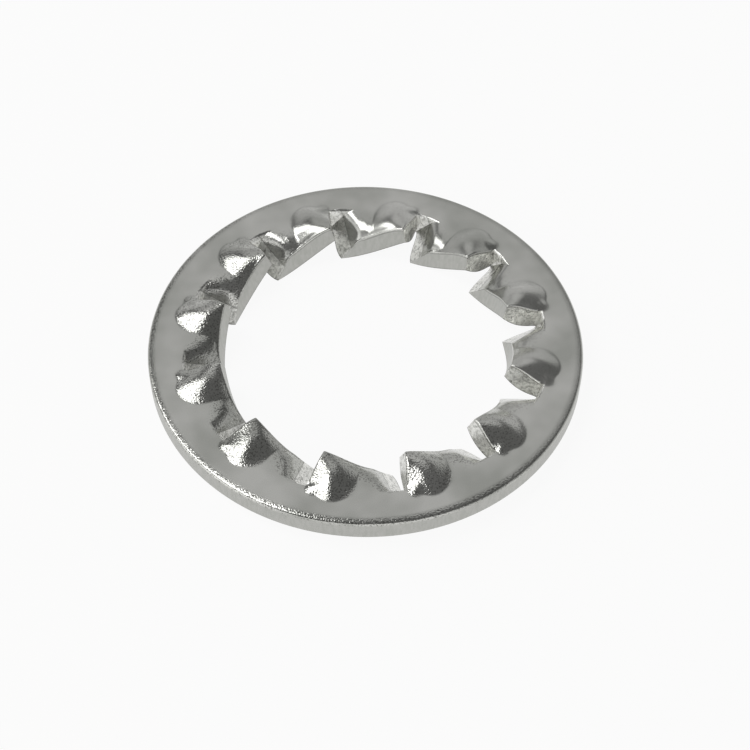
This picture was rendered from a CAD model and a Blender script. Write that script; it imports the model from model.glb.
# %% [markdown]
# # A toothed lock washer
# A lock washer like this one is punched out of spring steel about 1 mm thick. A wedge then lances
# twelve slits into its inner edge and twists the strip of metal between each two of them, so that
# every tooth has one corner standing proud above the ring and one biting below it. The washer comes
# packed as a plain solid, and these cells rebuild its skin finely enough to catch the light.

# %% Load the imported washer
from math import cos, pi, radians, sin

import bpy
import numpy as np
from mathutils import Matrix, Vector


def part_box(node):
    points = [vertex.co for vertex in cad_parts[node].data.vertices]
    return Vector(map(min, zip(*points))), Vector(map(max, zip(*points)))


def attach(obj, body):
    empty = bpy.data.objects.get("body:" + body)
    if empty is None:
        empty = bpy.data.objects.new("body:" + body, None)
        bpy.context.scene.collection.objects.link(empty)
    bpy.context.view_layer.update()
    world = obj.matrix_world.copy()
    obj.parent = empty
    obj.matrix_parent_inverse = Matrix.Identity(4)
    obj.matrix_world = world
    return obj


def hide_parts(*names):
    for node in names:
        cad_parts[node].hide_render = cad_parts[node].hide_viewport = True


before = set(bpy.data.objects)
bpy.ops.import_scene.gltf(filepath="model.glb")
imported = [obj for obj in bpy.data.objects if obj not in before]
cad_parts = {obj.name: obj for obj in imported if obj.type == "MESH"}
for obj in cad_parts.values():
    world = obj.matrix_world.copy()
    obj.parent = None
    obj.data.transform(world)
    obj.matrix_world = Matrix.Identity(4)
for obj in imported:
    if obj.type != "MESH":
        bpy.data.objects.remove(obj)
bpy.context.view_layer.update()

MM = 0.001
low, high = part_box("lock_washer")
print("washer:", [round((b - a) / MM, 3) for a, b in zip(low, high)], "mm")

# %% [markdown]
# ## The view
# A small flat thing shows most of its shape from about 50 degrees above the table, close enough
# for its near side to look larger than its far side. The camera is placed first, because
# everything after it is judged through it. A Track To constraint could aim it, but then the
# heading, the height and the distance would be hidden in two places. As separate numbers, turned
# into matrices and multiplied, each of them changes one thing in the picture.

# %% The camera
HEADING = -13.37            # degrees the camera is swung round the washer's axis
ELEVATION = 52.09           # degrees above the table
ROLL = 0.94                 # degrees the picture is tilted
DISTANCE = 73.54 * MM
AIM = Vector((0.459, -1.65, 0.0)) * MM    # the point looked at, before the swing
LENS = 75.46                # millimetres, on Blender's 36 mm sensor

swing = Matrix.Rotation(radians(HEADING), 4, "Z")
tilt = Matrix.Rotation(radians(90 - ELEVATION), 4, "X")
roll = Matrix.Rotation(radians(ROLL), 4, "Z")
camera = bpy.data.objects.new("camera", bpy.data.cameras.new("camera"))
camera.data.lens = LENS
camera.data.clip_start = 0.005    # the usual 0.1 m would clip the washer away
back_off = Matrix.Translation(Vector((0, 0, DISTANCE)))
camera.matrix_world = swing @ Matrix.Translation(AIM) @ tilt @ back_off @ roll
bpy.context.scene.collection.objects.link(camera)
bpy.context.scene.camera = camera
print("camera at", [round(v / MM, 2) for v in camera.matrix_world.translation], "mm")

# %% [markdown]
# ## The twist of one tooth
# The tooth could be bent with a Lattice or a Simple Deform modifier, but its shape is easier to
# say than to drag: seen along the inner edge, the upper edge of a tooth climbs in half a sine wave
# from its lowered end to its raised end, and further out the sheet settles back to the flat ring.
# So the height is a formula of two numbers: the radius, and the turn, which is an angle measured
# clockwise from the slit where the tooth starts. Shapes are worked out in millimetres and degrees.

# %% Sizes of the blank
HALF = 0.525                # half the sheet's thickness
OUTER_RADIUS = (high.x - low.x) / 2 / MM
TIP_TOP = 6.93              # radius of the inner edge, above
TIP_BOTTOM = 6.73           # and below
TEETH = 12
PITCH = 360 / TEETH
print("ring from", TIP_BOTTOM, "to", round(OUTER_RADIUS, 3), "mm, a tooth every", PITCH, "degrees")

# %% Curves that the shapes are made of


def eased(share):
    """Rises from 0 to 1 with level ends: three squares of the share less two cubes."""
    share = np.clip(share, 0, 1)
    return share ** 2 * (3 - 2 * share)


def rounding(share):
    """A quarter circle's fall below its top, from 0 where share is 0 to 1 where it is 1."""
    return 1 - np.sqrt(1 - np.clip(share, 0, 1) ** 2)


def bell(turn, centre, half_width):
    """A hump that is 1 at its centre and 0 past its half width: a squared cosine."""
    return np.cos(pi / 2 * np.clip((turn - centre) / half_width, -1, 1)) ** 2


def climb_of(turn, start, end):
    """Rises from 0 to 1 as a quarter sine: at once from its start, and level at its end."""
    return np.sin(pi / 2 * np.clip((turn - start) / (end - start), 0, 1))


fifths = np.linspace(0, 1, 6)
print("eased:", eased(fifths).round(2), "rounding:", rounding(fifths).round(2))

# %% The inner edge's two heights
TOP_MIDDLE, TOP_SWING = 0.50, 0.58          # the upper edge's middle height, and its swing
TOP_CENTRE, TOP_QUARTER = 18.0, 12.6        # turn of the middle height, and a quarter wave's turn
BOTTOM_END, BOTTOM_SWING = 0.40, 1.46       # the lower edge's end height, and its swing
BOTTOM_LOW = 3.0                            # turn at which it is lowest


def edge_top(turn):
    """The upper inner edge: its middle height plus its swing times a sine."""
    return TOP_MIDDLE + TOP_SWING * np.sin(pi / 2 * (turn - TOP_CENTRE) / TOP_QUARTER)


def edge_bottom(turn):
    """The lower inner edge: its end height less its swing times a cosine, so it rises ever faster."""
    return BOTTOM_END - BOTTOM_SWING * np.cos(pi / 2 * (turn - BOTTOM_LOW) / (PITCH - BOTTOM_LOW))


turns = np.linspace(0, PITCH, 7)
print("upper inner edge:", edge_top(turns).round(2))
print("lower inner edge:", edge_bottom(turns).round(2))

# %% The bent sheet
BEND = 8.74                 # radius at which the sheet starts to bend, beside the slits
DOME_REACH, DIMPLE_REACH = 0.48, 0.10       # how much further out it does so round dome and dimple
DOME_TURN, DIMPLE_TURN = 22.5, 4.5          # turns of the middles of these
DOME_HALF, DIMPLE_HALF = 9, 6               # and half their widths
DOME_FROM, DOME_TO = 15.0, 23.5             # the dome climbs between these turns
DIMPLE_FROM, DIMPLE_TO = 12.0, 3.0          # and the dimple sinks between these
FOOT, FOOT_HALF = 0.24, 8.5                 # the dome's foot: its handle, and half its width
DOME_MIDDLE, DOME_CREST = 0.42, 0.56        # the dome's other two handles
DOME_SETTLES = 0.45                         # share that the first loses towards the raised end
DIMPLE_MIDDLE, DIMPLE_CREST = 0.15, 0.30    # the same handles, downwards, for the dimple


def bent(radius, turn, tip_radius, tip_rise):
    """How far the bent sheet stands above the flat one: a Bezier quartic along the radius, from
    nothing at the bend to the whole rise at the tip. Its three handles lift the dome beside the
    raised end and lower the dimple beside the other."""
    bend = (BEND + DOME_REACH * bell(turn, DOME_TURN, DOME_HALF)
            + DIMPLE_REACH * bell(turn, DIMPLE_TURN, DIMPLE_HALF))
    dome, dimple = climb_of(turn, DOME_FROM, DOME_TO), climb_of(turn, DIMPLE_FROM, DIMPLE_TO)
    settled = 1 - DOME_SETTLES * eased((turn - DOME_TO) / (PITCH - DOME_TO))
    near = FOOT * bell(turn, DOME_TO, FOOT_HALF)
    middle = DOME_MIDDLE * dome * settled - DIMPLE_MIDDLE * dimple
    far = DOME_CREST * dome - DIMPLE_CREST * dimple
    s = np.clip((bend - radius) / (bend - tip_radius), 0, 1)
    return (4 * s * (1 - s) ** 3 * near + 6 * s ** 2 * (1 - s) ** 2 * middle
            + 4 * s ** 3 * (1 - s) * far + s ** 4 * tip_rise)


print("bend at 8 mm with the tip held level:", bent(8.0, turns, TIP_TOP, 0).round(2))

# %% The sheet's two faces
TIP_ROLL = 0.10             # rounding of the upper inner edge


def sheet_top(radius, turn):
    """The flat sheet's height and its bend, less the rolled inner edge."""
    height = HALF + bent(radius, turn, TIP_TOP + TIP_ROLL, edge_top(turn) - HALF)
    return height - TIP_ROLL * rounding((TIP_TOP + TIP_ROLL - radius) / TIP_ROLL)


def sheet_bottom(radius, turn):
    """The same from below, seen the other way round. Here the inner edge stays sharp."""
    return -HALF - bent(radius, PITCH - turn, TIP_BOTTOM, -HALF - edge_bottom(turn))


print("sheet above at 8 mm:", sheet_top(8.0, turns).round(2))
print("sheet below at 8 mm:", sheet_bottom(8.0, turns).round(2))

# %% [markdown]
# ## The slit
# The lancing wedge is driven down beside each raised corner. It cuts that corner nearly upright,
# and pushes the neighbouring lowered corner down and aside, along a slanted facet that rolls over
# into a rounded shoulder. A Boolean with a wedge would cut this too, but it leaves ragged
# triangles that shade badly. Here each line of the cut is found first, and the mesh is then
# strung along those lines, so that every crease of the metal is a row of edges.
# A point of a slit is given by its station, which is the distance from the axis along the slit,
# and how far it lies sideways, anticlockwise.

# %% Corners of the wedge
MOUTH, ROOT = 6.20, 8.43    # stations at which the cut's corners are given
# Each corner is (sideways, height) at the mouth, then at the root.
RAISED_HEAD = np.array(((0.58, 1.70), (0.03, 1.70)))
RAISED_FOOT = np.array(((0.08, 0.38), (0.01, 0.10)))
FACET_FOOT = np.array(((0.27, -1.72), (0.02, -0.72)))
FACET_HEAD = np.array(((-0.80, -0.75), (-0.70, 0.22)))
SHOULDER = np.array(((-1.32, -0.15), (-1.32, 0.53)))


def corner(station, ends):
    """A straight line between the corner's places at the mouth and at the root."""
    share = (ROOT - station) / (ROOT - MOUTH)
    return ends[1] + (ends[0] - ends[1]) * share[..., None]


def radius_turn(station, sideways):
    """The radius and the turn of a point, by Pythagoras and the arc tangent."""
    return np.hypot(station, sideways), np.degrees(np.arctan2(-sideways, station))


print("facet's head half way out:", corner(np.array((MOUTH + ROOT) / 2), FACET_HEAD).round(2))

# %% Where the wedge meets the sheet
PASSES = 10                 # repeats after which an intersection has settled


def meet(station, upper_line, lower_line, sheet, first_turn=0.0):
    """Where the cut's straight flank, from one corner line to another, meets a sheet's surface.
    The height there and the place on the flank are worked out in turn until they agree."""
    upper, lower = corner(station, upper_line), corner(station, lower_line)
    sideways = lower[..., 0]
    for _ in range(PASSES):
        radius, turn = radius_turn(station, sideways)
        share = (sheet(radius, turn + first_turn) - lower[..., 1]) / (upper - lower)[..., 1]
        sideways = lower[..., 0] + share * (upper - lower)[..., 0]
    return sideways


def raised_top(station):
    """The upper edge of the raised end."""
    return meet(station, RAISED_HEAD, RAISED_FOOT, sheet_top, PITCH)


stations = np.linspace(TIP_TOP, ROOT, 4)
print("raised edge lies sideways:", raised_top(stations).round(2))

# %% The slit's two lower edges
CLOSES_OVER = 0.18          # the slit's last stretch, over which its lower edges come together


def closing(station):
    """Draws the two lower edges of a slit together towards its root, as a square root."""
    return np.sqrt(np.clip((ROOT - station) / CLOSES_OVER, 0, 1))


def facet_foot(station):
    """The facet's lower edge, on the underside. It stays on the tooth's side of the slit."""
    sideways = meet(station, FACET_HEAD, FACET_FOOT, sheet_bottom)
    return np.minimum(sideways, 0) * closing(station)


def raised_bottom(station):
    """The lower edge of the raised end."""
    return meet(station, RAISED_HEAD, RAISED_FOOT, sheet_bottom, PITCH) * closing(station)


print("lower edges lie sideways:", facet_foot(stations).round(2), raised_bottom(stations).round(2))

# %% Where a slit starts


def first_station(radius_at, sideways_at):
    """Where a line of the cut starts on the inner wall: the station is the other leg of the
    right triangle over the wall's radius, worked out again until all three agree."""
    station = np.array(TIP_TOP)
    for _ in range(PASSES):
        station = np.sqrt(radius_at(station) ** 2 - sideways_at(station) ** 2)
    return station


print("raised edge starts at station", first_station(lambda x: TIP_TOP, raised_top).round(3))

# %% [markdown]
# ## The crack
# Past its root a real slit closes to a crack too fine to see. The sheet stands higher on one side
# of it than on the other, so both sides are drawn to one height before they are joined. Smoothing
# the mesh there would do it too, but would also soften the edges of the cut.

# %% The closed sheet
NOSE = 8.66                 # station at which the slit's blind end has come up to the sheet
CRACK_FROM = 8.20           # from here out the underside closes to a crack
BESIDE_SLIT = 0.25          # how far to each side the sheet is drawn


def drawn_together(sheet, radius, turn, begins, ends):
    """A sheet's surface with its two heights at a slit drawn to their mean, from one radius to
    another. What is added fades in with the radius, and out as a bell beside the slit."""
    start, end = sheet(radius, 0 * turn), sheet(radius, 0 * turn + PITCH)
    bell_start = np.exp(-(radians(1) * turn * radius / BESIDE_SLIT) ** 2)
    bell_end = np.exp(-(radians(1) * (PITCH - turn) * radius / BESIDE_SLIT) ** 2)
    drawn = eased((radius - begins) / (ends - begins)) * (end - start) / 2
    return sheet(radius, turn) + drawn * (bell_start - bell_end)


def closed_bottom(radius, turn):
    """The underside, closed to a crack at the slit's root."""
    return drawn_together(sheet_bottom, radius, turn, CRACK_FROM, ROOT)


def closed_top(radius, turn):
    """The upper side, closed at the nose of the slit."""
    return drawn_together(sheet_top, radius, turn, ROOT, NOSE)


print("step of the underside at the root:",
      np.diff(sheet_bottom(ROOT, np.array((0, PITCH)))).round(3), "closed:",
      np.diff(closed_bottom(ROOT, np.array((0, PITCH)))).round(3))

# %% [markdown]
# ## The lowered end
# Across the lowered end the surface climbs the facet and rolls over the shoulder onto the top of
# the sheet. The facet is a straight line. The roll could be an arc, but an arc needs a centre and a
# radius that suit both its ends. A Hermite curve simply leaves in the facet's direction and arrives
# in the sheet's.

# %% The facet and its roll
SLOPE_STEP = 0.05           # over which the sheet's slope beside the shoulder is measured


def unit(vectors):
    """The vectors, each divided by its own length."""
    return vectors / np.linalg.norm(vectors, axis=-1, keepdims=True)


def lowered_end(station, share):
    """Sideways and height over the lowered end. Share 0 to 1 climbs the facet in a straight line,
    and 1 to 2 follows a Hermite curve from the facet's head to the shoulder."""
    foot = facet_foot(station)
    foot = np.stack((foot, closed_bottom(*radius_turn(station, foot))), -1)
    head = corner(station, FACET_HEAD)
    side = corner(station, SHOULDER)[..., 0]
    shoulder = np.stack((side, sheet_top(*radius_turn(station, side))), -1)
    side = side - SLOPE_STEP
    beyond = np.stack((side, sheet_top(*radius_turn(station, side))), -1)
    chord = np.linalg.norm(shoulder - head, axis=-1, keepdims=True)
    climb, u = np.clip(share, 0, 1)[..., None], np.clip(share - 1, 0, 1)[..., None]
    facet = foot + (head - foot) * climb
    curve = ((2 * u ** 3 - 3 * u ** 2 + 1) * head + (3 * u ** 2 - 2 * u ** 3) * shoulder
             + (u ** 3 - 2 * u ** 2 + u) * chord * unit(head - foot)
             + (u ** 3 - u ** 2) * chord * unit(beyond - shoulder))
    return np.where(u > 0, curve, facet)


print("shoulder at 7 mm:", lowered_end(np.array(7.0), np.array(2.0)).round(2))

# %% The leaning inner wall


def wall_radius(station, share):
    """The inner wall leans, so its radius where the lowered end starts depends on the height."""
    side = lowered_end(station, share)
    _, turn = radius_turn(station, side[..., 0])
    bottom, top = edge_bottom(turn), edge_top(turn) - TIP_ROLL
    up = np.clip((side[..., 1] - bottom) / (top - bottom), 0, 1)
    return TIP_BOTTOM + (TIP_TOP - TIP_BOTTOM) * up


print("wall's radius beside the facet:", wall_radius(np.array(TIP_TOP), fifths).round(2))

# %% [markdown]
# ## A grid over the tooth
# The skin of one pitch of the washer is a single grid. Its columns run round the washer, from the
# foot of the facet over the shoulder and along the tooth to its raised corner. Its rows run from
# the inner edge out to the root of the slit, over the flat ring, down the outer wall and back
# underneath. A subdivision surface over a coarse cage would be lighter, but it rounds every
# crease. Here rows and columns are crowded together where the metal turns sharply.

# %% The tooth from above
FACET_COLUMNS, ROLL_COLUMNS, TOP_COLUMNS, TAB_ROWS = 18, 10, 34, 20
EDGE_BREAK = 0.10           # rounding of the raised end's upper edge
climb_columns = np.concatenate((np.linspace(0, 1, FACET_COLUMNS),
                                np.linspace(1, 2, ROLL_COLUMNS)[1:]))
# Shares of the way along and out, with the last columns and first rows on the rounded edges.
top_columns = np.concatenate((np.linspace(0, 0.965, TOP_COLUMNS)[1:], (0.976, 0.987, 0.995, 1.0)))
rows = np.concatenate(((0, 0.012, 0.03, 0.05), np.linspace(0.068, 1, TAB_ROWS)))


def places(station, sideways, height):
    """Points of a slit as radius, turn and height."""
    return np.stack((*radius_turn(station, sideways), height), -1)


def tooth_top():
    """The upper grid, columns first, as radius, turn and height. The lowered end is worked out
    in the slit's own frame, and the rest is the sheet between the shoulder and the raised edge."""
    start = first_station(lambda x: wall_radius(x, climb_columns),
                          lambda x: lowered_end(x, climb_columns)[..., 0])[:, None]
    station = start + (ROOT - start) * rows
    side = lowered_end(station, climb_columns[:, None])
    climb = places(station, side[..., 0], side[..., 1])
    start = first_station(lambda x: TIP_TOP, raised_top)
    station = start + (ROOT - start) * rows
    end = places(station, raised_top(station), 0 * station) + (0, PITCH, 0)
    between = climb[-1] + (end - climb[-1]) * top_columns[:, None, None]
    radius, turn = between[..., 0], between[..., 1]
    from_edge = radians(1) * (turn[-1] - turn) * radius
    between[..., 2] = sheet_top(radius, turn) - EDGE_BREAK * rounding(1 - from_edge / EDGE_BREAK)
    return np.concatenate((climb, between))


upper = tooth_top()
print("upper grid:", upper.shape[:2], "heights", upper[..., 2].min().round(2), "to",
      upper[..., 2].max().round(2))

# %% [markdown]
# The underside has the same rows and columns, strung between the facet's foot and the lower edge
# of the raised end. The torn end face and the inner wall each join an edge above to one below.

# %% The tooth from below, its raised end and its inner wall
WALL_ROWS = 14
down = np.linspace(0, 1, WALL_ROWS)


def tooth_bottom(upper):
    """The lower grid: each point is as far along between its row's two ends as the one above."""
    start = first_station(lambda x: TIP_BOTTOM, raised_bottom)
    station = start + (ROOT - start) * rows
    end = places(station, raised_bottom(station), 0 * station) + (0, PITCH, 0)
    share = (upper[..., 1] - upper[0, :, 1]) / (upper[-1, :, 1] - upper[0, :, 1])
    grid = upper[0] + (end - upper[0]) * share[..., None]
    grid[..., 2] = closed_bottom(grid[..., 0], grid[..., 1])
    grid[0] = upper[0]
    return grid


lower = tooth_bottom(upper)
raised_end = upper[-1] + (lower[-1] - upper[-1]) * down[:, None, None]
inner_wall = upper[:, :1] + (lower[:, :1] - upper[:, :1]) * down[:, None]
print("raised end:", raised_end.shape[:2], "inner wall:", inner_wall.shape[:2])

# %% [markdown]
# ## The slit's blind end
# At its root the slit stops in a short steep run-out, where the metal was drawn down without
# being cut through. Its rim is rounded like any drawn edge, so its depth follows a quarter circle.
# What the wedge's nose displaces has to go somewhere, and rises as a low bead beside the root. A
# sculpting brush would raise one bead well, but a formula raises twelve alike.

# %% The run-out
NOSE_SIDE = 0.95            # how far aside the shoulder lies at the nose
RUN_ROWS = 9
CROWDING = 1.5              # above 1, rows lie closer together near the slit


def run_out(upper):
    """From the slit's root to its nose: each column keeps its own depth below the sheet, less
    and less of it as the quarter circle climbs, while the columns gather sideways."""
    share = np.linspace(0, 1, RUN_ROWS + 1)[1:] ** CROWDING
    station = ROOT + (NOSE - ROOT) * share
    root = upper[:len(climb_columns), -1]
    root_side = root[:, 0] * np.sin(np.radians(root[:, 1]))
    aim_side = NOSE_SIDE * climb_columns / 2
    side = root_side[:, None] + (aim_side - root_side)[:, None] * share
    depth = sheet_top(root[:, 0], root[:, 1]) - root[:, 2]
    climb = places(station, -side, 0 * side)
    climb[..., 2] = closed_top(climb[..., 0], climb[..., 1]) - depth[:, None] * rounding(1 - share)
    end = places(station, 0 * station, 0 * station) + (0, PITCH, 0)
    between = climb[-1] + (end - climb[-1]) * top_columns[:, None, None]
    between[..., 2] = closed_top(between[..., 0], between[..., 1])
    return np.concatenate((climb, between))


run = run_out(upper)
run_wall = run[-1] + (run[0] + (0, PITCH, 0) - run[-1]) * down[:, None, None]
print("run-out:", run.shape[:2], "from", ROOT, "to", NOSE, "mm")

# %% The bead
BEAD_RADIUS, BEAD_TURN = 8.74, 28.2    # where the bead's middle lies
BEAD_REACH, BEAD_HEIGHT = 0.45, 0.07   # how far it spreads, and how high it stands


def bead(points):
    """The bead that the wedge's nose pushes up at the slit's outer end: a squared cosine of the
    distance from its middle, fading out down through the sheet."""
    radius, turn, height = points.T
    aside = radians(1) * radius * ((turn - BEAD_TURN + PITCH / 2) % PITCH - PITCH / 2)
    away = np.hypot(radius - BEAD_RADIUS, aside) / BEAD_REACH
    return BEAD_HEIGHT * np.cos(pi / 2 * np.clip(away, 0, 1)) ** 2 * np.clip(height / HALF, 0, 1)


print("bead's height out along its turn:",
      bead(np.array([(r, BEAD_TURN, HALF) for r in (8.3, 8.5, 8.7, 8.9, 9.1)])).round(3))

# %% [markdown]
# ## The flat ring
# Outside the slits the columns spread out evenly, and the ring's section is a short profile: flat,
# drawn down towards the edge by the punch, turned over a tighter corner, upright, and lightly broken
# below. A Bevel modifier would round the edge too, but to one radius, and a punched edge has two.
# The corner matters more than its size suggests: it mirrors half the room in a line a tenth of a
# millimetre wide, and that thin bright line is what makes an edge look like steel.

# %% The ring's profile
ROLL_WIDTH = 0.40           # how far in the punch draws the upper outer edge down
CORNER = 0.13               # width of the tighter corner at the end of that
DRAWN_FROM, CORNER_FROM, CORNER_TO = 4, 11, 84    # slopes at their ends, in degrees
LOWER_BREAK = 0.04          # small break on the lower outer edge
FLAT_FROM = 9.45            # outside this radius the ring is flat
FLAT_ROWS = (9.55, 9.68, 9.78)              # radii of the rows over the flat ring
UNDER_ROWS = (OUTER_RADIUS - LOWER_BREAK, 10.0, 9.8, 9.6, FLAT_FROM)    # and of those under it
RIM_ROWS = 6                # rows down the outer wall


def arc(start, width, first, last, count):
    """Points of a round edge that slopes down ever more steeply, from one angle to another."""
    angle = np.radians(np.linspace(first, last, count))
    radius = width / (np.sin(angle[-1]) - np.sin(angle[0]))
    return start + radius * np.stack((np.sin(angle) - np.sin(angle[0]),
                                      np.cos(angle) - np.cos(angle[0])), -1)


drawn = arc((OUTER_RADIUS - ROLL_WIDTH, HALF), ROLL_WIDTH - CORNER, DRAWN_FROM, CORNER_FROM, 8)
die_roll = np.concatenate((drawn, arc(drawn[-1], CORNER, CORNER_FROM, CORNER_TO, 9)[1:]))
ring_profile = np.concatenate((
    [(radius, HALF) for radius in FLAT_ROWS], die_roll,
    [(OUTER_RADIUS, height) for height
     in np.linspace(die_roll[-1, 1], LOWER_BREAK - HALF, RIM_ROWS)[1:]],
    [(radius, -HALF) for radius in UNDER_ROWS]))
print("profile:", len(ring_profile), "points, punched down by", round(HALF - die_roll[-1, 1], 3))

# %% The whole skin of one pitch
ABOVE_ROWS, BELOW_ROWS = 10, 8    # rows from the slits out to the flat ring
even = np.linspace(0, PITCH, len(upper))


def outwards(edge, count, sheet):
    """Rows from an edge of the grid out to the flat ring, while the columns even out."""
    share = np.linspace(0, 1, count + 1)[1:] ** CROWDING
    radius = edge[:, :1] + (FLAT_FROM - edge[:, :1]) * share
    turn = edge[:, 1:2] + (even[:, None] - edge[:, 1:2]) * share
    return np.stack((radius, turn, sheet(radius, turn)), -1)


ring = np.empty((len(even), len(ring_profile), 3))
ring[..., 0], ring[..., 1], ring[..., 2] = ring_profile[:, 0], even[:, None], ring_profile[:, 1]
above = outwards(run[:, -1], ABOVE_ROWS, closed_top)
below = outwards(lower[:, -1], BELOW_ROWS, closed_bottom)[:, -2::-1]
skin = np.concatenate((upper, run, above, ring, below, lower[:, ::-1]), 1)
end_face = np.concatenate((raised_end, run_wall), 1)
print("skin of one pitch:", skin.shape[:2], "end face:", end_face.shape[:2])

# %% [markdown]
# ## Twelve teeth, one mesh
# Each grid becomes quads, the pitch is repeated round the axis, and the points that two grids
# share are welded, so that the washer is one closed surface. Merge by Distance would do the same,
# but rounding the coordinates and keeping each place once is quicker on whole arrays.
# Every point also carries how far down through the sheet it lies, because a cut face is darker
# along its upper and lower edges than in between.

# %% Quads


def quads(columns, count, flip=False):
    """Corner numbers of a grid's quads, wound so that they face outwards."""
    i, j = np.meshgrid(np.arange(columns - 1), np.arange(count - 1), indexing="ij")
    corners = np.stack((i * count + j, (i + 1) * count + j,
                        (i + 1) * count + j + 1, i * count + j + 1), -1).reshape(-1, 4)
    return corners[:, ::-1] if flip else corners


print("corners of the quads between three points and two:", quads(3, 2).tolist())

# %% Depths and finishes
SKIN, LANCED, PUNCHED = 0, 1, 2


def depths():
    """How far down through the sheet each point of the three grids lies, from 0 to 1: by its
    place on the facet, by half that on the run-out beyond, and by its height on the ring."""
    on_skin = np.zeros(skin.shape[:2])
    on_skin[:len(climb_columns)] = np.clip(1 - climb_columns, 0, 1)[:, None]
    out = upper.shape[1] + run.shape[1] + above.shape[1]
    on_skin[:, out:] = np.clip((HALF - skin[:, out:, 2]) / (2 * HALF), 0, 1)
    on_skin[:, upper.shape[1]:out] *= 0.5
    on_skin[:, out + len(ring_profile) - len(UNDER_ROWS):] = 1
    return on_skin, down[:, None] + 0 * end_face[..., 0], down + 0 * inner_wall[..., 0]


def finishes():
    """The finish of each quad: the lanced faces, the punched walls, and the skin elsewhere."""
    kind = np.full((skin.shape[0] - 1, skin.shape[1] - 1), SKIN)
    kind[:FACET_COLUMNS - 1, :len(rows) + RUN_ROWS - 1] = LANCED
    wall = upper.shape[1] + run.shape[1] + above.shape[1] + len(FLAT_ROWS) + len(die_roll) - 1
    kind[:, wall:wall + RIM_ROWS] = PUNCHED
    on_end = np.full((end_face.shape[0] - 1, end_face.shape[1] - 1), LANCED)
    on_wall = np.full((inner_wall.shape[0] - 1, inner_wall.shape[1] - 1), PUNCHED)
    return kind, on_end, on_wall


print("quads of each finish:", {name: int(sum((part == mark).sum() for part in finishes()))
                                for name, mark in (("skin", SKIN), ("lanced", LANCED),
                                                   ("punched", PUNCHED))})

# %% One pitch


def one_pitch():
    """The three grids laid end to end: points, quads, depths and finishes."""
    grids, flips = (skin, end_face, inner_wall), (False, False, True)
    firsts = np.cumsum([0] + [grid.shape[0] * grid.shape[1] for grid in grids])
    points = np.concatenate([grid.reshape(-1, 3) for grid in grids])
    faces = np.concatenate([quads(*grid.shape[:2], flip) + first
                            for grid, flip, first in zip(grids, flips, firsts)])
    return (points, faces, np.concatenate([d.ravel() for d in depths()]),
            np.concatenate([k.ravel() for k in finishes()]))


print("points, quads, depths and finishes of one pitch:", [len(part) for part in one_pitch()])

# %% Twelve pitches, welded
WELD = 2e-6                 # millimetres


def whole_washer():
    """Every pitch in place, then each distinct place kept once. Clockwise turns are negative
    angles, and quads that have lost an edge to the weld become triangles."""
    points, faces, depth, kind = one_pitch()
    points[:, 2] += bead(points)
    tooth = np.arange(TEETH)[:, None]
    angle = -np.radians(points[:, 1] + PITCH * tooth)
    placed = np.stack((points[:, 0] * np.cos(angle), points[:, 0] * np.sin(angle),
                       points[:, 2] + 0 * angle), -1).reshape(-1, 3)
    faces = (faces + len(points) * tooth[..., None]).reshape(-1, 4)
    _, first, number = np.unique(np.round(placed / WELD).astype(np.int64), axis=0,
                                 return_index=True, return_inverse=True)
    return (placed[first], number.reshape(-1)[faces], np.tile(depth, TEETH)[first],
            np.tile(kind, TEETH))


places_mm, faces, depth, kind = whole_washer()
print("places:", len(places_mm), "quads:", len(faces))

# %% [markdown]
# The arrays go into Blender's mesh whole. Adding the faces one by one would give the same mesh, far
# more slowly. The metal is shaded smooth, but an edge between faces that meet at a wide angle stays
# crisp, as a cut edge is.

# %% From arrays to a mesh
SHARP_ANGLE = 32            # degrees between faces above which a crease stays crisp


def shaded_mesh(name, places_mm, faces):
    """A mesh from points in millimetres and quads. A quad that has lost an edge is written with
    three corners, and one that has lost two is left out."""
    doubled = faces == np.roll(faces, 1, axis=1)
    count = 4 - doubled.sum(1)
    kept = count > 2
    corners = faces[~doubled & kept[:, None]]
    mesh = bpy.data.meshes.new(name)
    mesh.vertices.add(len(places_mm))
    mesh.vertices.foreach_set("co", (places_mm * MM).ravel().astype(np.float32))
    mesh.loops.add(len(corners))
    mesh.loops.foreach_set("vertex_index", corners.astype(np.int32))
    mesh.polygons.add(int(kept.sum()))
    starts = np.concatenate(([0], np.cumsum(count[kept])[:-1]))
    mesh.polygons.foreach_set("loop_start", starts.astype(np.int32))
    mesh.update(calc_edges=True)
    mesh.set_sharp_from_angle(angle=radians(SHARP_ANGLE))
    return mesh, kept


print("edges between faces more than", SHARP_ANGLE, "degrees apart stay crisp")

# %% Build the washer
mesh, kept = shaded_mesh("lock_washer_steel", places_mm, faces)
mesh.polygons.foreach_set("material_index", kind[kept].astype(np.int32))
mesh.attributes.new("depth", "FLOAT", "POINT").data.foreach_set("value", depth.astype(np.float32))
washer = bpy.data.objects.new("lock_washer_steel", mesh)
bpy.context.scene.collection.objects.link(washer)
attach(washer, "root")
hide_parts("lock_washer")
print("washer mesh:", len(mesh.vertices), "vertices,", len(mesh.polygons), "faces, valid:",
      not mesh.validate())

# %% [markdown]
# ## Steel
# The washer is hardened spring steel, tumbled with abrasive stones until it is bright. Metal has
# no colour of its own under its reflections, so its base colour is simply how much of each colour
# it mirrors, and the finish lies in the roughness and in small bumps that tilt the mirror.
# The nodes could be wired by hand in the Shader Editor, but three finishes share most of them, so
# one helper adds a node, and takes both its settings and what it is linked to.

# %% Helpers for materials


def linear(code):
    """The linear colour of an sRGB hex code: each channel is undone by the sRGB curve."""
    channels = np.array([int(code[i:i + 2], 16) for i in (1, 3, 5)]) / 255
    curve = np.where(channels <= 0.04045, channels / 12.92, ((channels + 0.055) / 1.055) ** 2.4)
    return (*curve, 1.0)


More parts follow.
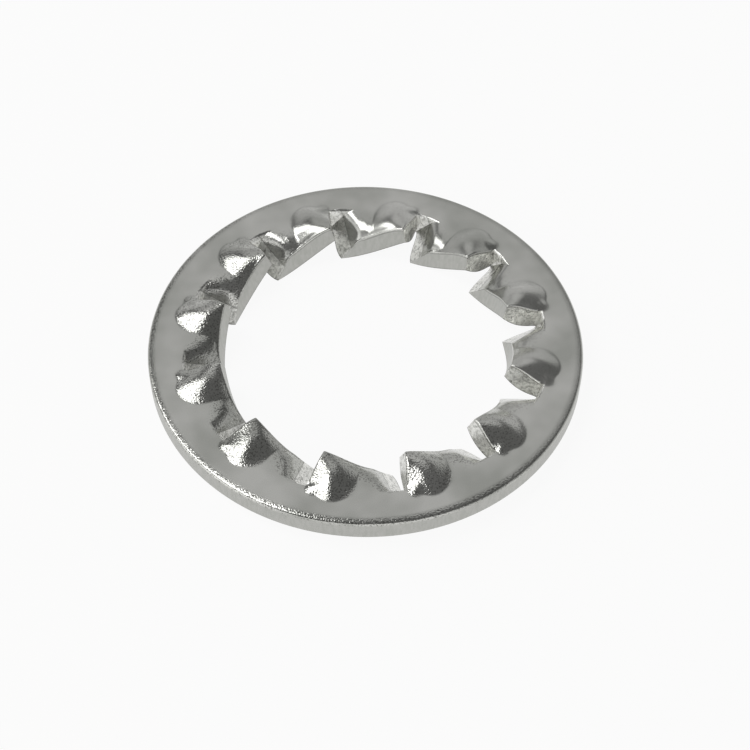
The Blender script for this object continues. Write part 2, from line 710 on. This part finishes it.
def add_node(tree, kind, inputs=None, **settings):
    """A node with its settings, and with each input given a value or linked to a socket."""
    node = tree.nodes.new(kind)
    for name, value in settings.items():
        setattr(node, name, value)
    for name, value in (inputs or {}).items():
        if isinstance(value, bpy.types.NodeSocket):
            tree.links.new(value, node.inputs[name])
        else:
            node.inputs[name].default_value = value
    return node


def new_material(name):
    """An empty node tree with its output, and the Principled shader that feeds it."""
    material = bpy.data.materials.new(name)
    material.use_nodes = True
    tree = material.node_tree
    tree.nodes.clear()
    shader = add_node(tree, "ShaderNodeBsdfPrincipled", {"Metallic": 1.0})
    add_node(tree, "ShaderNodeOutputMaterial", {"Surface": shader.outputs["BSDF"]})
    return material, tree, shader


print("mid grey is", round(linear("#808080")[0], 3), "in linear light")

# %% Colours of the steel
STEEL = linear("#C6C6C2")               # clean and smooth
DULL_STEEL = linear("#ACADA8")          # under a film of oil
DENTED_STEEL = linear("#868682")        # in the dents of the tumbled skin
CLEAN_STEEL = linear("#ECECE8")         # freshly torn
PITTED_STEEL = linear("#82827E")        # in the pits of a tear, and along its edges
SHEARED_STEEL = linear("#B4B4B0")       # on the punched walls
print("steel mirrors", [round(c, 2) for c in STEEL[:3]])

# %% [markdown]
# ## The tumbled skin
# The flat faces keep the rolled sheet's smooth skin, with faint wide clouds of oil. Where the sheet
# was stretched, over the teeth and along the punched edge, its grain comes up like orange peel, and
# tumbling brightens the crests and leaves the dents dark. Whatever isn't at the flat sheet's height
# has been stretched, so the height alone tells the two apart and nothing has to be painted. The
# grain is strong on one side of the ring and faint on the other, as it is when the parts lie still in
# the drum for a while. An image of scratched metal could be laid over it instead, but it would show
# its repeats and its seams.

# %% Where the grain shows
MOVED = 0.02 * MM           # off the flat sheet's height, from which the grain is fully up
GRAINIEST = (-0.85, -0.52, 0.0)          # direction of the side where the grain is strongest
GRAIN_FROM, GRAIN_TO = -5 * MM, 3 * MM   # places along it where the grain starts to grow, and stops
FAINTEST = 0.2              # what is left of the grain on the other side


def grain_at(tree, place):
    """How much of the grain shows: from 0 to 1 as the sheet leaves its flat height, times what
    is left of it on this side of the ring."""
    height = add_node(tree, "ShaderNodeSeparateXYZ", {0: place}).outputs["Z"]
    height = add_node(tree, "ShaderNodeMath", {0: height}, operation="ABSOLUTE").outputs[0]
    moved = add_node(tree, "ShaderNodeMath", {0: height, 1: HALF * MM}, operation="SUBTRACT")
    moved = add_node(tree, "ShaderNodeMath", {0: moved.outputs[0]}, operation="ABSOLUTE")
    stretched = add_node(tree, "ShaderNodeMapRange",
                         {"Value": moved.outputs[0], "From Max": MOVED},
                         interpolation_type="SMOOTHSTEP").outputs["Result"]
    side = add_node(tree, "ShaderNodeVectorMath", {0: place, 1: GRAINIEST},
                    operation="DOT_PRODUCT")
    uneven = add_node(tree, "ShaderNodeMapRange",
                      {"Value": side.outputs["Value"], "From Min": GRAIN_FROM,
                       "From Max": GRAIN_TO, "To Min": FAINTEST}, interpolation_type="SMOOTHSTEP")
    return add_node(tree, "ShaderNodeMath", {0: stretched, 1: uneven.outputs["Result"]},
                    operation="MULTIPLY").outputs[0]


print("grain is fully up", round(MOVED / MM, 3), "mm off the flat sheet; far side:", FAINTEST)

# %% Tumbled spring steel
PEEL = 0.08 * MM            # across a dent: a real one is half as wide, too fine to be seen
PEEL_DEPTH = 0.014 * MM
CLOUD = 2.5 * MM            # across a cloud of oil


def tumbled_spring_steel():
    """Smooth where the sheet lies flat, and grained where it was stretched."""
    material, tree, shader = new_material("tumbled_spring_steel")
    place = add_node(tree, "ShaderNodeTexCoord").outputs["Object"]
    grained = grain_at(tree, place)
    clouds = add_node(tree, "ShaderNodeTexNoise",
                      {"Vector": place, "Scale": 1 / CLOUD, "Detail": 2.0, "Roughness": 0.5})
    cloudy = add_node(tree, "ShaderNodeMapRange", {"Value": clouds.outputs["Fac"],
                                                   "From Min": 0.35, "From Max": 0.65})
    sheet = add_node(tree, "ShaderNodeMix", {0: cloudy.outputs["Result"], 6: DULL_STEEL, 7: STEEL},
                     data_type="RGBA")
    peel = add_node(tree, "ShaderNodeTexNoise",
                    {"Vector": place, "Scale": 1 / PEEL, "Detail": 1.0, "Roughness": 0.5})
    dents = add_node(tree, "ShaderNodeMapRange", {"Value": peel.outputs["Fac"],
                                                  "From Min": 0.48, "From Max": 0.32})
    dents = add_node(tree, "ShaderNodeMath", {0: dents.outputs["Result"], 1: grained},
                     operation="MULTIPLY")
    tint = add_node(tree, "ShaderNodeMix", {0: dents.outputs[0], 6: sheet.outputs[2],
                                            7: DENTED_STEEL}, data_type="RGBA")
    rough = add_node(tree, "ShaderNodeMapRange", {"Value": grained, "To Min": 0.24,
                                                  "To Max": 0.14})
    bump = add_node(tree, "ShaderNodeBump", {"Height": peel.outputs["Fac"], "Strength": grained,
                                             "Distance": PEEL_DEPTH})
    tree.links.new(tint.outputs[2], shader.inputs["Base Color"])
    tree.links.new(rough.outputs["Result"], shader.inputs["Roughness"])
    tree.links.new(bump.outputs["Normal"], shader.inputs["Normal"])
    return material


mesh.materials.append(tumbled_spring_steel())
print("dents:", round(PEEL / MM, 3), "mm across and", round(PEEL_DEPTH / MM, 3), "mm deep")

# %% [markdown]
# ## The cut faces
# A slit is half cut and half torn, so its faces are clean bright metal broken by pits. The punched
# walls were dragged upright by the die, and are duller and finely streaked. Both darken along their
# edges, where the light doesn't reach in under the burr. Dark lines could be painted on, but the
# depth that every point carries already says where those edges are.

# %% Dark edges
DARK_EDGE = 0.07            # width of the dark line, as a share of the sheet's thickness


def edge_of_cut(tree):
    """1 in the middle of a cut face and 0 along its upper and lower edges."""
    depth = add_node(tree, "ShaderNodeAttribute", attribute_name="depth").outputs["Fac"]
    below = add_node(tree, "ShaderNodeMath", {0: depth, 1: 0.5}, operation="SUBTRACT")
    from_middle = add_node(tree, "ShaderNodeMath", {0: below.outputs[0]}, operation="ABSOLUTE")
    return add_node(tree, "ShaderNodeMapRange", {"Value": from_middle.outputs[0], "From Min": 0.5,
                                                 "From Max": 0.5 - DARK_EDGE}).outputs["Result"]


print("dark lines fade over", round(DARK_EDGE * 2 * HALF, 3), "mm")

# %% Torn steel
TEAR, TEAR_DEPTH = 0.16 * MM, 0.03 * MM


def lanced_steel():
    """The torn faces of the slits: bright clean metal, pitted where the grain broke out."""
    material, tree, shader = new_material("lanced_steel")
    place = add_node(tree, "ShaderNodeTexCoord").outputs["Object"]
    tears = add_node(tree, "ShaderNodeTexNoise", {"Vector": place, "Scale": 1 / TEAR, "Detail": 3.0,
                                                  "Roughness": 0.65, "Distortion": 0.6})
    whole = add_node(tree, "ShaderNodeMapRange", {"Value": tears.outputs["Fac"],
                                                  "From Min": 0.25, "From Max": 0.55})
    clean = add_node(tree, "ShaderNodeMath", {0: whole.outputs["Result"], 1: edge_of_cut(tree)},
                     operation="MULTIPLY")
    tint = add_node(tree, "ShaderNodeMix", {0: clean.outputs[0], 6: PITTED_STEEL, 7: CLEAN_STEEL},
                    data_type="RGBA")
    bump = add_node(tree, "ShaderNodeBump", {"Height": tears.outputs["Fac"],
                                             "Distance": TEAR_DEPTH})
    shader.inputs["Roughness"].default_value = 0.3
    tree.links.new(tint.outputs[2], shader.inputs["Base Color"])
    tree.links.new(bump.outputs["Normal"], shader.inputs["Normal"])
    return material


mesh.materials.append(lanced_steel())
print("pits:", round(TEAR / MM, 3), "mm across and", round(TEAR_DEPTH / MM, 3), "mm deep")

# %% Punched steel
DRAG, DRAG_DEPTH = 0.14 * MM, 0.02 * MM   # coarser than the real streaks, which are too fine
STRETCH = 4                 # how much longer than wide a streak is


def punched_steel():
    """The punched walls: dragged upright by the die, with a dark line at each edge."""
    material, tree, shader = new_material("punched_steel")
    place = add_node(tree, "ShaderNodeTexCoord").outputs["Object"]
    upright = add_node(tree, "ShaderNodeMapping", {"Vector": place, "Scale": (1, 1, 1 / STRETCH)})
    drag = add_node(tree, "ShaderNodeTexNoise", {"Vector": upright.outputs["Vector"],
                                                 "Scale": 1 / DRAG, "Detail": 3.0})
    streaks = add_node(tree, "ShaderNodeMapRange", {"Value": drag.outputs["Fac"],
                                                    "From Min": 0.35, "From Max": 0.60})
    streaked = add_node(tree, "ShaderNodeMix", {0: streaks.outputs["Result"], 6: DULL_STEEL,
                                                7: SHEARED_STEEL}, data_type="RGBA")
    tint = add_node(tree, "ShaderNodeMix", {0: edge_of_cut(tree), 6: PITTED_STEEL,
                                            7: streaked.outputs[2]}, data_type="RGBA")
    bump = add_node(tree, "ShaderNodeBump", {"Height": drag.outputs["Fac"],
                                             "Distance": DRAG_DEPTH})
    shader.inputs["Roughness"].default_value = 0.4
    tree.links.new(tint.outputs[2], shader.inputs["Base Color"])
    tree.links.new(bump.outputs["Normal"], shader.inputs["Normal"])
    return material


mesh.materials.append(punched_steel())
print("materials:", [m.name for m in mesh.materials])

# %% [markdown]
# ## The floor and the light
# Bright metal shows its surroundings, so the surroundings are most of the work. A plain pale floor
# stands in for the sheet of paper that small parts are laid out on. Stronger lamps would turn it
# white, and the washer with it. Instead it is nearly white only to what looks at it, straight or in
# the steel, while the light that it throws back onto the washer stays a floor's.

# %% Paper
FLOOR_GLOW = 0.92           # share of plain white in what is seen of it
PAPER = linear("#E6E6E4")


def pale_floor():
    """Matt and pale for the light that falls on it. What looks straight at it, or at its mirror
    image in the steel, sees mostly an even white, with the washer's shadow faint in it."""
    material, tree, shader = new_material("pale_floor")
    shader.inputs["Metallic"].default_value = 0.0
    shader.inputs["Roughness"].default_value = 0.9
    shader.inputs["Base Color"].default_value = PAPER
    ray = add_node(tree, "ShaderNodeLightPath")
    seen = add_node(tree, "ShaderNodeMath", {0: ray.outputs["Is Camera Ray"],
                                             1: ray.outputs["Is Glossy Ray"]}, operation="ADD")
    seen = add_node(tree, "ShaderNodeMath", {0: seen.outputs[0],
                                             1: ray.outputs["Is Transmission Ray"]},
                    operation="ADD", use_clamp=True)
    share = add_node(tree, "ShaderNodeMath", {0: seen.outputs[0], 1: FLOOR_GLOW},
                     operation="MULTIPLY")
    white = add_node(tree, "ShaderNodeEmission", {"Color": (1, 1, 1, 1), "Strength": 1.0})
    mix = add_node(tree, "ShaderNodeMixShader", {0: share.outputs[0], 1: shader.outputs["BSDF"],
                                                 2: white.outputs["Emission"]})
    output = next(n for n in tree.nodes if n.type == "OUTPUT_MATERIAL")
    tree.links.new(mix.outputs["Shader"], output.inputs["Surface"])
    return material


paper = pale_floor()
print("paper throws back", round(PAPER[0], 2), "of the light, and what is seen is", FLOOR_GLOW, "white")

# %% The floor
FLOOR_RADIUS = 0.6          # metres


def disc(name, radius, height, count=128):
    """A flat disc: its rim is a circle's cosine and sine."""
    angle = np.linspace(0, 2 * pi, count, endpoint=False)
    rim = np.stack((radius * np.cos(angle), radius * np.sin(angle), 0 * angle + height), -1)
    flat = bpy.data.meshes.new(name)
    flat.from_pydata(rim.tolist(), [], [tuple(range(count))])
    return flat


floor = bpy.data.objects.new("floor", disc("floor", FLOOR_RADIUS, low.z))
floor.data.materials.append(paper)
bpy.context.scene.collection.objects.link(floor)
print("floor at", round(low.z / MM, 3), "mm")

# %% [markdown]
# The room is dark above and bright low down, like a table under a light tent whose top is open. In
# a room lit evenly the washer would be one flat grey. Here the flat ring mirrors a grey card behind
# it, any slope mirrors the dark beside the card, and so every dome gets a dark outline. A bright
# patch low on the left whitens one flank of each dome, and a wide one behind the camera lights the
# walls that face it. The room could be modelled, but a sum of soft round patches in the world's
# background says the same in a few nodes.

# %% Directions and patches of the room


def studio_direction(azimuth, elevation):
    """A direction seen from the washer: azimuth 0 is away from the camera, 90 to its right."""
    a, e = radians(azimuth), radians(elevation)
    return swing.to_3x3() @ Vector((sin(a) * cos(e), cos(a) * cos(e), sin(e)))


def glow(tree, direction, azimuth, elevation, inner, outer, strength):
    """A round patch of the walls: its strength within the inner angle, none beyond the outer."""
    towards = add_node(tree, "ShaderNodeVectorMath",
                       {0: direction, 1: studio_direction(azimuth, elevation)},
                       operation="DOT_PRODUCT")
    return add_node(tree, "ShaderNodeMapRange", {
        "Value": towards.outputs["Value"], "From Min": cos(radians(outer)),
        "From Max": cos(radians(inner)), "To Min": 0.0, "To Max": strength},
        interpolation_type="SMOOTHSTEP").outputs["Result"]


print("45 degrees up, away from the camera:", [round(v, 2) for v in studio_direction(0, 45)])

# %% The room
DARK, BRIGHT = 0.17, 0.62   # radiance of the walls high up and low down
BRIGHT_TO, DARK_FROM = 19, 37    # elevations between which one turns into the other
# Each brighter part: azimuth, elevation, inner and outer angle, and radiance above the walls'.
BRIGHTER = ((0, 51, 14, 28, 0.49), (180, 6, 22, 46, 0.60), (-112, 22, 16, 34, 1.00))


def studio_world():
    """Walls that are bright low down and dark higher up, with the brighter parts added to them.
    What looks straight past the washer sees plain white."""
    world = bpy.data.worlds.new("studio")
    bpy.context.scene.world = world
    world.use_nodes = True
    tree = world.node_tree
    tree.nodes.clear()
    direction = add_node(tree, "ShaderNodeTexCoord").outputs["Generated"]
    upright = add_node(tree, "ShaderNodeSeparateXYZ", {0: direction}).outputs["Z"]
    total = add_node(tree, "ShaderNodeMapRange", {
        "Value": upright, "From Min": sin(radians(BRIGHT_TO)),
        "From Max": sin(radians(DARK_FROM)), "To Min": BRIGHT, "To Max": DARK},
        interpolation_type="SMOOTHSTEP").outputs["Result"]
    for patch in BRIGHTER:
        total = add_node(tree, "ShaderNodeMath", {0: total, 1: glow(tree, direction, *patch)},
                         operation="ADD").outputs[0]
    around = add_node(tree, "ShaderNodeBackground", {"Color": (1, 1, 1, 1),
                                                     "Strength": total})
    ray = add_node(tree, "ShaderNodeLightPath")
    white = add_node(tree, "ShaderNodeBackground", {"Color": (1, 1, 1, 1), "Strength": 1.0})
    mix = add_node(tree, "ShaderNodeMixShader", {0: ray.outputs["Is Camera Ray"],
                                                 1: around.outputs["Background"],
                                                 2: white.outputs["Background"]})
    add_node(tree, "ShaderNodeOutputWorld", {"Surface": mix.outputs["Shader"]})


studio_world()
print("radiance of the room:", DARK, "above,", BRIGHT, "below,", [p[-1] for p in BRIGHTER], "more")

# %% [markdown]
# Two small lamps high on the left put the sharpest white on the domes. A sun lamp would do it too,
# but what mirrors a sun is a point, and what mirrors a small lamp is a patch with a shape.

# %% The lamps


def softbox(name, azimuth, elevation, width, height, radiance, distance=0.4):
    """A rectangular lamp facing the washer. Its power is its radiance times pi times its area."""
    lamp = bpy.data.lights.new(name, "AREA")
    lamp.shape = "RECTANGLE"
    lamp.size, lamp.size_y = width, height
    lamp.energy = radiance * pi * width * height
    holder = bpy.data.objects.new(name, lamp)
    direction = studio_direction(azimuth, elevation)
    holder.matrix_world = (Matrix.Translation(direction * distance)
                           @ direction.to_track_quat("Z", "Y").to_matrix().to_4x4())
    holder.visible_camera = False
    bpy.context.scene.collection.objects.link(holder)


softbox("upper_lamp", azimuth=-85, elevation=66, width=0.20, height=0.155, radiance=4.0)
softbox("lower_lamp", azimuth=-66, elevation=44, width=0.125, height=0.125, radiance=3.5)
bpy.context.scene.view_settings.view_transform = "Standard"
